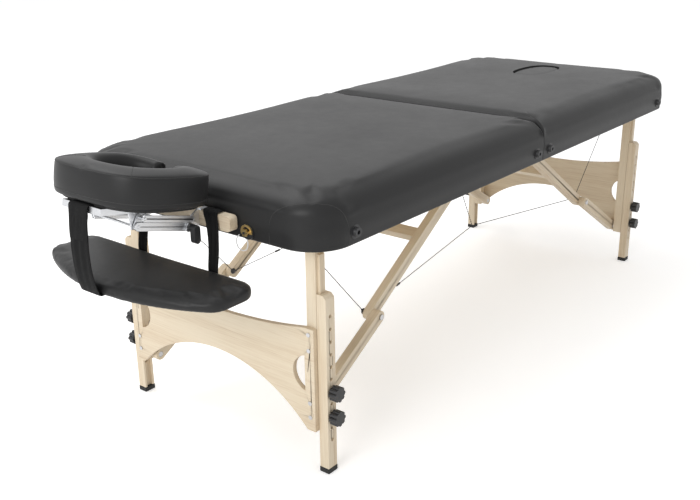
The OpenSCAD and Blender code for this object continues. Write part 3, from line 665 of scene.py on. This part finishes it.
# %% Loft the face cushion
FACE_A, FACE_B, HOLE_A, HOLE_B, HOLE_X = 0.126, 0.149, 0.072, 0.086, 0.010
# Across the band: 0 at the hole, 1 at the outside, and the height. Seams lie at 12 and 64 mm.
BAND = [(0.30, 0.0006), (0.60, 0.0006), (0.90, 0.0007), (0.968, 0.004), (0.985, 0.012), (1.0, 0.022),
        (1.005, 0.038), (1.0, 0.053), (0.985, 0.0635), (0.93, 0.0675), (0.80, 0.0705), (0.60, 0.0735),
        (0.40, 0.0755), (0.24, 0.0752), (0.10, 0.0710), (0.025, 0.0620),
        (0.0, 0.046), (0.0, 0.028), (0.02, 0.012), (0.10, 0.0025)]


def tilted(x, y, z):
    c, s = math.cos(TILT), math.sin(TILT)
    return (FACE_X + x * c + z * s, y, FACE_Z - x * s + z * c)


def ray_to(a, b, n, cx, angle):
    """Distance from the hole's middle to a superellipse centred at cx, along a ray."""
    lo, hi = 0.0, 0.4
    for _ in range(40):
        m = (lo + hi) / 2
        x, y = HOLE_X + m * math.cos(angle) - cx, m * math.sin(angle)
        lo, hi = (m, hi) if abs(x / a) ** n + abs(y / b) ** n < 1 else (lo, m)
    return lo


def cushion_section(angle, shrink):
    """A closed loop across the horseshoe: flat below, full at the sides, and a crowned top that slopes to the hole."""
    inner, outer = ray_to(HOLE_A, HOLE_B, 2.2, HOLE_X, angle), ray_to(FACE_A, FACE_B, 3.0, 0.0, angle)
    middle, low = (inner + outer) / 2, 0.034 * (1 - shrink ** 1.2)
    loop = [Vector((u, h, 0)) for u, h in BAND]
    line = smooth_line(loop[-1:] + loop + loop[:2], 2)[2:-3]
    return [(middle + (inner + (outer - inner) * q.x - middle) * shrink, low + q.y * (0.45 + 0.55 * shrink))
            for q in line]


SECTION = 2 * len(BAND)


def horseshoe():
    tip, reach = math.radians(22), math.radians(6)
    ends = [(tip - reach * math.cos(math.radians(t)), math.sin(math.radians(t))) for t in (9, 22, 38, 56, 74)]
    rays = (ends + [(tip + (2 * math.pi - 2 * tip) * k / 120, 1.0) for k in range(121)]
            + [(2 * math.pi - a, k) for a, k in ends[::-1]])
    fall = lambda a: 1 - 0.20 * max(0.0, 1 - min(a, 2 * math.pi - a) / math.radians(75)) ** 1.4
    points = [tilted(HOLE_X + r * math.cos(a), r * math.sin(a), z * fall(a))
              for a, k in rays for r, z in cushion_section(a, k)]
    n = len(rays)
    faces = rings_to_faces(n, SECTION) + [tuple(range(SECTION))[::-1],
                                          tuple((n - 1) * SECTION + i for i in range(SECTION))]
    return as_object("face_pad", points, faces, VINYL), n


face_pad, face_rows = horseshoe()
tidy(face_pad, 60)
swell(face_pad, lambda co: 0.6 if (co.z - FACE_Z) + (co.x - FACE_X) * math.tan(TILT) < 0.012 else 0.0,
      3.0, 0.004, stiff=30.0)
face_pad.data.shade_smooth()
print("face cushion:", face_rows, "sections")

face_tree = tree_of(face_pad)


def cushion_seam(name, index):
    """A seam along one line of the band, given by its place in BAND."""
    rows = range(4, face_rows - 4)
    path = [face_pad.data.vertices[k * SECTION + 2 * index].co.copy() for k in rows]
    return tube(name, snapped(path, face_tree, 0.0002), 0.0010, SEAM, 6)


def radial_seam(name, degrees):
    """The short seam from the hole to the outer seam."""
    row = min(range(5, face_rows - 5), key=lambda k: abs(math.degrees(math.atan2(
        face_pad.data.vertices[k * SECTION].co.y,
        face_pad.data.vertices[k * SECTION].co.x - FACE_X - HOLE_X)) % 360 - degrees))
    path = [face_pad.data.vertices[row * SECTION + i].co.copy() for i in range(16, 27)]
    return tube(name, snapped(path, face_tree, 0.0001), 0.0008, SEAM, 6)


face_seams = joined("face_seams", [cushion_seam("lower_seam", 4), cushion_seam("upper_seam", 8),
                                   radial_seam("near_seam", 227), radial_seam("far_seam", 133)])
for piece in (face_pad, face_seams):
    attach(piece, "cradle_platform")
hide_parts("face_cushion")

# %% [markdown]
# ## Arm shelf
# The shelf is a board under a thin layer of foam, in a half-moon outline: straight at the table, bowed at
# the front, with rounded tips. It is lofted like the plug, from outlines that shrink towards the edges.

# %% Build the arm shelf
SHELF_X1, SHELF_D, SHELF_HALF, SHELF_TIP, SHELF_R = -0.985 + SHIFT, 0.188, 0.268, 0.112, 0.038
SHELF_TOP, SHELF_T = 0.494, 0.028
bow_sagitta = SHELF_D - SHELF_TIP
BOW_R = (SHELF_HALF ** 2 + bow_sagitta ** 2) / (2 * bow_sagitta)
BOW_X = SHELF_X1 - SHELF_D + BOW_R
BACK_CORNER = (SHELF_X1 - SHELF_R, SHELF_HALF - SHELF_R)
BOW_CORNER = (BOW_X - math.sqrt((BOW_R - SHELF_R) ** 2 - BACK_CORNER[1] ** 2), BACK_CORNER[1])
BOW_TURN = math.degrees(math.atan2(BOW_CORNER[1], BOW_CORNER[0] - BOW_X))


def shelf_outline(inset):
    """The half-moon with its four corners rounded, drawn in by an inset."""
    r, end = SHELF_R - inset, SHELF_HALF - inset
    half = arc(BACK_CORNER, r, 0, 90, 10) + [(x, end) for x in straight(BACK_CORNER[0], BOW_CORNER[0], 8)]
    half += arc(BOW_CORNER, r, 90, BOW_TURN, 8) + arc((BOW_X, 0), BOW_R - inset, BOW_TURN, 180, 44)
    back = [(SHELF_X1 - inset, y) for y in straight(-BACK_CORNER[1], BACK_CORNER[1], 56)]
    tip = (BOW_X - BOW_R + inset, 0)
    return back + half + [tip] + [(x, -y) for x, y in half[:0:-1]]


def shelf_mesh():
    low = SHELF_TOP - SHELF_T
    rows = [(0.022, low), (0.008, low + 0.0002), (0.003, low + 0.001), (0.0006, low + 0.004),
            (0.0, low + 0.009), (0.0, low + 0.017),
            (0.0012, low + 0.0205), (0.005, low + 0.0248), (0.012, low + 0.027), (0.022, low + 0.0278)]
    points = [(x, y, z) for inset, z in rows for x, y in shelf_outline(inset)]
    count = len(points) // len(rows)
    centre = SHELF_X1 - 0.08
    for k in range(1, 5):
        points += [(centre + (x - centre) * (1 - k / 6), y * (1 - k / 6),
                    low + 0.0278 + 0.0008 * math.sin(k / 4 * math.pi / 2))
                   for x, y in shelf_outline(0.022)]
    n = len(points) // count
    faces = rings_to_faces(n, count) + [tuple(range(count))[::-1], tuple((n - 1) * count + i for i in range(count))]
    return as_object("arm_shelf_pad", points, faces, VINYL)


shelf_pad = tidy(shelf_mesh(), 60)
remesh = shelf_pad.modifiers.new("even", "REMESH")
remesh.mode, remesh.voxel_size = "VOXEL", 0.0045
baked(shelf_pad)
shelf_pad.data.materials.clear()
shelf_pad.data.materials.append(VINYL)
swell(shelf_pad, lambda co: 1.0 if co.z < 0.470 else 0.0, 2.0, 0.003)
shelf_pad.data.shade_smooth()
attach(shelf_pad, "arm_shelf")
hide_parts("arm_shelf")
print("arm shelf:", len(shelf_pad.data.vertices), "points")

# %% [markdown]
# ## Webbing straps
# The shelf hangs on black webbing: one strap over the tip of the head rest and two over the crossbar. A
# strap is a ribbon swept along its route, with a width that narrows where the webbing is bunched, and a
# ripple across it there.

# %% Straps
def ribbon(name, route, widths, ys, thick=0.0024, ripple=None, across=14, steps=6):
    line = smooth_line([(x, 0, z) for x, z in route], steps)
    n = len(line)
    total = 0.0
    points, uvs = [], []
    spread = lambda table, t: float(np.interp(t, np.linspace(0, 1, len(table)), table))
    for i, p in enumerate(line):
        t = (line[min(i + 1, n - 1)] - line[max(i - 1, 0)]).normalized()
        normal = Vector((-t.z, 0, t.x))
        total += (p - line[i - 1]).length if i else 0
        s = i / (n - 1)
        w, amp, y = spread(widths, s), spread(ripple, s) if ripple else 0.0, spread(ys, s)
        for side in (1, -1):
            for k in (range(across + 1) if side > 0 else range(across, -1, -1)):
                v = k / across - 0.5
                wave = amp * math.sin(v * 17 + 5 * s) * (1 - (2 * v) ** 6)
                points.append(p + normal * (wave + side * thick / 2 * (1 - abs(2 * v) ** 8 * 0.5))
                              + Vector((0, y + v * w, 0)))
                uvs.append((v * w, total))
    ring = 2 * (across + 1)
    faces = rings_to_faces(n, ring) + [tuple(range(ring))[::-1], tuple((n - 1) * ring + i for i in range(ring))]
    made = as_object(name, points, faces, WEBBING, uvs)
    made.data.shade_smooth()
    made.data.set_sharp_from_angle(angle=math.radians(70))
    return made


BAR_X0, BAR_X1 = -0.957 + SHIFT, -0.935 + SHIFT
STRAP_X = -1.198 + SHIFT
shelf_front = SHELF_X1 - SHELF_D
# From under the shelf's rear edge up to the crossbar's front and over its top.
rear_route = [(SHELF_X1 - 0.034, 0.4645), (SHELF_X1 - 0.010, 0.4642), (SHELF_X1 + 0.0022, 0.4665),
              (SHELF_X1 + 0.0042, 0.478), (SHELF_X1 + 0.0060, 0.496), (SHELF_X1 + 0.0120, 0.520),
              (BAR_X0 - 0.0110, 0.545), (BAR_X0 - 0.0070, 0.566), (BAR_X0 - 0.0044, 0.586),
              (BAR_X0 - 0.0036, 0.6005), (BAR_X0 + 0.0010, 0.6072), (BAR_X0 + 0.0110, 0.6076),
              (BAR_X1 - 0.0020, 0.6066), (BAR_X1 + 0.0022, 0.6010), (BAR_X1 + 0.0020, 0.588)]
rear_widths = [0.028, 0.028, 0.028, 0.029, 0.030, 0.032, 0.036, 0.040, 0.043, 0.045, 0.045, 0.044]
rear_ripple = [0.0003, 0.0006, 0.0018, 0.0030, 0.0032, 0.0028, 0.0020, 0.0012, 0.0006, 0.0004, 0.0002]
near_lean = [-0.134, -0.134, -0.133, -0.131, -0.127, -0.121, -0.115, -0.110, -0.107, -0.106, -0.106]
far_lean = [0.090, 0.090, 0.091, 0.093, 0.096, 0.099, 0.101, 0.103, 0.104, 0.104, 0.104]
rear = [ribbon(name, rear_route, rear_widths, lean, ripple=rear_ripple)
        for name, lean in (("near_webbing", near_lean), ("far_webbing", far_lean))]
rear_straps = joined("rear_webbing", rear)
hang_route = [(shelf_front + 0.050, 0.4645), (shelf_front + 0.010, 0.4644), (shelf_front - 0.0020, 0.4660),
              (shelf_front - 0.0070, 0.474), (shelf_front - 0.0140, 0.490), (STRAP_X + 0.0030, 0.523),
              (STRAP_X - 0.0010, 0.567), (STRAP_X - 0.0012, 0.602), (STRAP_X - 0.0005, 0.629),
              (STRAP_X + 0.0016, 0.643), (STRAP_X + 0.0022, 0.654)]
hang_lean = [0.021, 0.021, 0.020, 0.018, 0.014, 0.010, 0.007, 0.004, 0.003, 0.002, 0.002]
hang_strap = ribbon("front_webbing", hang_route, [0.060, 0.060, 0.060, 0.058, 0.057, 0.057, 0.058, 0.058],
                    hang_lean, ripple=[0, 0, 0.0005, 0.0010, 0.0008, 0.0003])
loop_route = [(STRAP_X - 0.0026, 0.590), (STRAP_X - 0.0022, 0.610), (STRAP_X - 0.0002, 0.634),
              (STRAP_X + 0.0008, 0.650), (STRAP_X + 0.0024, 0.6590),
              (STRAP_X + 0.0075, 0.6628), (STRAP_X + 0.016, 0.6622), (STRAP_X + 0.030, 0.6596)]
loop_strap = ribbon("front_webbing_loop", loop_route, [0.056, 0.057, 0.058, 0.059, 0.059],
                    [0.005, 0.003, 0.002, 0.002], thick=0.0026, ripple=[0.0005, 0.0004, 0.0003, 0, 0])
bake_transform(rear_straps)
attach(hang_strap, "arm_shelf")
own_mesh(hang_strap)
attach(loop_strap, "cradle_platform")
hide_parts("rear_straps")
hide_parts("front_strap")
print("straps:", rear_straps.name, hang_strap.name, loop_strap.name)

# %% [markdown]
# ## Steel cables
# The cables that tie the elbows to the frame are six strands laid in a ring. Geometry Nodes make them: a
# line is resampled, its tilt grows with its length, and a ring of small circles is swept along it, so the
# strands wind like a rope.

# %% Cable node tree
def rope_tree():
    tree = bpy.data.node_groups.new("stranded_cable", "GeometryNodeTree")
    face = tree.interface
    face.new_socket("Geometry", in_out="INPUT", socket_type="NodeSocketGeometry")
    sizes = {}
    for label, value in (("Strand Radius", 0.00050), ("Lay Radius", 0.00098), ("Turns Per Metre", 70.0),
                         ("Spacing", 0.006)):
        made = face.new_socket(label, in_out="INPUT", socket_type="NodeSocketFloat")
        made.default_value = value
        sizes[label] = made.identifier
    face.new_socket("Material", in_out="INPUT", socket_type="NodeSocketMaterial")
    face.new_socket("Geometry", in_out="OUTPUT", socket_type="NodeSocketGeometry")
    n, link = tree.nodes.new, tree.links.new
    start, end = n("NodeGroupInput"), n("NodeGroupOutput")
    line, even, tilt = n("GeometryNodeMeshToCurve"), n("GeometryNodeResampleCurve"), n("GeometryNodeSetCurveTilt")
    even.mode = "LENGTH"
    where, turn = n("GeometryNodeSplineParameter"), n("ShaderNodeMath")
    turn.operation = "MULTIPLY"
    turns = n("ShaderNodeMath")
    turns.operation, turns.inputs[1].default_value = "MULTIPLY", 2 * math.pi
    strand, ring = n("GeometryNodeCurvePrimitiveCircle"), n("GeometryNodeCurvePrimitiveCircle")
    place = n("GeometryNodeInstanceOnPoints")
    strand.inputs["Resolution"].default_value, ring.inputs["Resolution"].default_value = 6, 6
    real, sweep = n("GeometryNodeRealizeInstances"), n("GeometryNodeCurveToMesh")
    paint, out = n("GeometryNodeSetMaterial"), n("GeometryNodeRealizeInstances")
    sweep.inputs["Fill Caps"].default_value = True
    for a, b in ((start.outputs["Geometry"], line.inputs[0]),
                 (line.outputs[0], even.inputs["Curve"]),
                 (start.outputs["Spacing"], even.inputs["Length"]),
                 (even.outputs[0], tilt.inputs["Curve"]),
                 (where.outputs["Length"], turn.inputs[0]),
                 (start.outputs["Turns Per Metre"], turns.inputs[0]),
                 (turns.outputs[0], turn.inputs[1]),
                 (turn.outputs[0], tilt.inputs["Tilt"]),
                 (start.outputs["Strand Radius"], strand.inputs["Radius"]),
                 (start.outputs["Lay Radius"], ring.inputs["Radius"]),
                 (ring.outputs[0], place.inputs["Points"]),
                 (strand.outputs[0], place.inputs["Instance"]),
                 (place.outputs[0], real.inputs[0]),
                 (tilt.outputs[0], sweep.inputs["Curve"]),
                 (real.outputs[0], sweep.inputs["Profile Curve"]),
                 (sweep.outputs[0], out.inputs[0]),
                 (out.outputs[0], paint.inputs["Geometry"]),
                 (start.outputs["Material"], paint.inputs["Material"]),
                 (paint.outputs[0], end.inputs[0])):
        link(a, b)
    return tree


ROPE = rope_tree()
inputs_of = lambda tree: {i.name: i.identifier for i in tree.interface.items_tree if i.in_out == "INPUT"}


def grown(obj, tree, **values):
    """Runs a node tree on an object and keeps the result as a plain mesh."""
    mod = obj.modifiers.new("grow", "NODES")
    mod.node_group = tree
    names = inputs_of(tree)
    for key, value in values.items():
        mod[names[key.replace("_", " ")]] = value
    obj.update_tag()
    return baked(obj)


def cable(name, stretches):
    points, edges = [], []
    for a, b in stretches:
        k = 24
        base = len(points)
        points += [tuple(Vector(a).lerp(Vector(b), i / k)) for i in range(k + 1)]
        edges += [(base + i, base + i + 1) for i in range(k)]
    mesh = bpy.data.meshes.new(name)
    mesh.from_pydata(points, edges, [])
    made = bpy.data.objects.new(name, mesh)
    bpy.context.scene.collection.objects.link(made)
    grown(made, ROPE, Material=CABLE)
    if not made.data.materials:
        made.data.materials.append(CABLE)
    made.data.shade_smooth()
    return made


print("cable tree inputs:", list(inputs_of(ROPE)))

# %% Lay the cables
CLIP, EYE, JOINT, HANGER = (0.584, 0.22125, 0.278), (0.884, 0.22125, 0.608), (0.0, 0.173, 0.328), (0.0, 0.080, 0.554)
START = (0.572, 0.22125, 0.278)
MIDWAY = tuple((a + b) / 2 for a, b in zip(START, JOINT))


def at(point, sx, sy):
    return (sx * point[0] + SHIFT, sy * point[1], point[2])


for end, sx in (("head", -1), ("foot", 1)):
    outer = cable(f"{end}_outer_cable", [(at(CLIP, sx, sy), at(EYE, sx, sy)) for sy in (-1, 1)])
    at((EYE[0], 0, EYE[2]), sx, 1)
    at((CLIP[0], 0, CLIP[2]), sx, 1)
    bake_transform(outer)
    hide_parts(f"{end}_outer_cables")
head_run = cable("head_centre_cable", [(at(START, -1, sy), at(JOINT, -1, sy)) for sy in (-1, 1)])
at((0, 0, 0.328), -1, 1)
at((0.572, 0, 0.278), -1, 1)
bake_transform(head_run)
near_run = cable("fold_centre_cable", [(at(JOINT, 1, sy), at(MIDWAY, 1, sy)) for sy in (-1, 1)])
at((0, 0, 0.328), 1, 1)
at((MIDWAY[0], 0, MIDWAY[2]), 1, 1)
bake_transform(near_run)
foot_run = cable("foot_centre_cable", [(at(MIDWAY, 1, sy), at(START, 1, sy)) for sy in (-1, 1)])
at((MIDWAY[0], 0, MIDWAY[2]), 1, 1)
at((0.572, 0, 0.278), 1, 1)
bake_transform(foot_run)
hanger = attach(cable("cable_hanger", [(at(JOINT, 1, sy), at(HANGER, 1, sy)) for sy in (-1, 1)]), "head_half")
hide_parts("centre_cables")
print("cables laid")

# %% [markdown]
# ## Clips, ferrules and the latch loops
# Black clips hold the cables at the elbows, a crimped ferrule sits on each centre cable, and a milky
# plastic loop hangs from each latch. They are small lathe-turned or bent shapes, so tubes and stacked rings
# are enough.

# %% Small fittings
def lathe(name, centre, axis, rows, material, count=28):
    """Rings of (distance along the axis, radius), closed at both ends."""
    axis = Vector(axis).normalized()
    a = axis.orthogonal().normalized()
    b = axis.cross(a)
    points = [Vector(centre) + axis * h + r * (math.cos(t) * a + math.sin(t) * b)
              for h, r in rows for t in (2 * math.pi * i / count for i in range(count))]
    n = len(rows)
    faces = rings_to_faces(n, count) + [tuple(range(count))[::-1], tuple((n - 1) * count + i for i in range(count))]
    return tidy(as_object(name, points, faces, material), 40)


for end, sx in (("head", -1), ("foot", 1)):
    clips = []
    for sy in (-1, 1):
        c = at((0.584, 0.2235, 0.278), sx, sy)
        clips.append(lathe("clip", c, (0, -sy, 0), [(0.0, 0.0075), (0.0025, 0.0078), (0.0042, 0.0062),
                                                    (0.0052, 0.0030), (0.0054, 0.0005)], PLASTIC))
        clips.append(tube("clip_arm", [at((0.590, 0.2215, 0.284), sx, sy), at((0.584, 0.2212, 0.280), sx, sy),
                                       at((0.574, 0.2212, 0.276), sx, sy)], 0.0028, PLASTIC))
    clip = joined(f"{end}_cable_clips", clips)
    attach(clip, f"{end}_upper_braces")
ferrules = []
for sy in (-1, 1):
    a, b = Vector(at(START, -1, sy)), Vector(at(JOINT, -1, sy))
    ferrules.append(lathe("ferrule", a.lerp(b, 0.25), b - a,
                          [(0, 0.0012), (0.0006, 0.0026), (0.004, 0.0028), (0.008, 0.0023),
                           (0.012, 0.0028), (0.016, 0.0026), (0.0166, 0.0012)], PLASTIC))
ferrule = joined("cable_ferrules", ferrules)
at((0, 0, 0.328), -1, 1)
at((0.572, 0, 0.278), -1, 1)
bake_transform(ferrule)
knots = joined("cable_knots", [lathe("knot", at((0, 0.173, 0.3255), 1, sy), (0, 0, 1),
                                     [(0, 0.0008), (0.0006, 0.0024), (0.0025, 0.003), (0.0046, 0.0026),
                                      (0.0056, 0.001)], PLASTIC) for sy in (-1, 1)])
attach(knots, "head_half")
bend = [(0.9345, 0.168, 0.562), (0.9350, 0.161, 0.553), (0.9352, 0.160, 0.542), (0.9352, 0.166, 0.532),
        (0.9350, 0.178, 0.529), (0.9348, 0.188, 0.534), (0.9346, 0.192, 0.546), (0.9345, 0.190, 0.556)]
for side, sy in (("near", -1), ("far", 1)):
    loop = tube(f"latch_loop_{side}", smooth_line([at((x, y, z), -1, sy) for x, y, z in bend], 6), 0.0013, CLEAR)
    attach(loop, f"latch_hook_{side}")
print("fittings:", clip.name, ferrule.name, knots.name, loop.name)

# %% [markdown]
# ## Studio
# A pale floor and an even white surrounding, with one broad lamp high up on the far side and a smaller one
# beyond the head end. Through the Light Path node, the surroundings are pure white for the camera, for
# reflections and for what shines through, and a little dimmer for the light they shed.

# %% Floor, light and background
FLOOR_GLOW = 0.36      # added to the floor where it is seen, not where it lights the table
WORLD_LIGHT = 0.72     # how bright the surroundings are as a light; seen, they are 1


def seen_rays(tree):
    """1 for the rays that show the surroundings, straight or in a reflection, and 0 for the rest."""
    path = tree.nodes.new("ShaderNodeLightPath")
    total = path.outputs["Is Camera Ray"]
    for kind in ("Is Glossy Ray", "Is Transmission Ray"):
        add = tree.nodes.new("ShaderNodeMath")
        add.use_clamp = True
        tree.links.new(total, add.inputs[0])
        tree.links.new(path.outputs[kind], add.inputs[1])
        total = add.outputs[0]
    return total


def studio_floor():
    points = [(-14, -14, -0.0005), (14, -14, -0.0005), (14, 14, -0.0005), (-14, 14, -0.0005)]
    floor = as_object("studio_floor", points, [(0, 1, 2, 3)])
    m = bpy.data.materials.new("studio_white")
    m.use_nodes = True
    t = m.node_tree
    matte, glow, blend = [t.nodes.new("ShaderNode" + kind) for kind in ("BsdfDiffuse", "Emission", "AddShader")]
    t.nodes.remove(t.nodes["Principled BSDF"])
    matte.inputs["Color"].default_value = (0.9, 0.9, 0.9, 1)
    t.links.new(seen_rays(t), glow.inputs["Strength"])
    glow.inputs["Color"].default_value = (FLOOR_GLOW, FLOOR_GLOW, FLOOR_GLOW, 1)
    t.links.new(matte.outputs[0], blend.inputs[0])
    t.links.new(glow.outputs[0], blend.inputs[1])
    t.links.new(blend.outputs[0], t.nodes["Material Output"].inputs["Surface"])
    floor.data.materials.append(m)
    return floor


def lamp(name, place, target, size, power):
    data = bpy.data.lights.new(name, "AREA")
    data.shape, data.size, data.size_y, data.energy = "RECTANGLE", size[0], size[1], power
    made = bpy.data.objects.new(name, data)
    bpy.context.scene.collection.objects.link(made)
    made.location = place
    made.rotation_euler = (Vector(target) - Vector(place)).to_track_quat("-Z", "Y").to_euler()
    return made


studio_floor()
world = bpy.data.worlds.new("studio")
bpy.context.scene.world = world
world.use_nodes = True
wt = world.node_tree
sky, strength = wt.nodes["Background"], wt.nodes.new("ShaderNodeMapRange")
wt.links.new(seen_rays(wt), strength.inputs["Value"])
strength.inputs["To Min"].default_value, strength.inputs["To Max"].default_value = WORLD_LIGHT, 1.0
wt.links.new(strength.outputs[0], sky.inputs["Strength"])
sky.inputs["Color"].default_value = (1, 1, 1, 1)
lamp("key_lamp", (-0.6, 1.6, 3.6), (0.0, 0.0, 0.5), (3.2, 2.6), 66)
lamp("side_lamp", (-3.8, -0.5, 1.9), (-0.6, 0.0, 0.5), (1.8, 1.3), 50)
bpy.context.scene.view_settings.view_transform = "Standard"
print("studio ready")
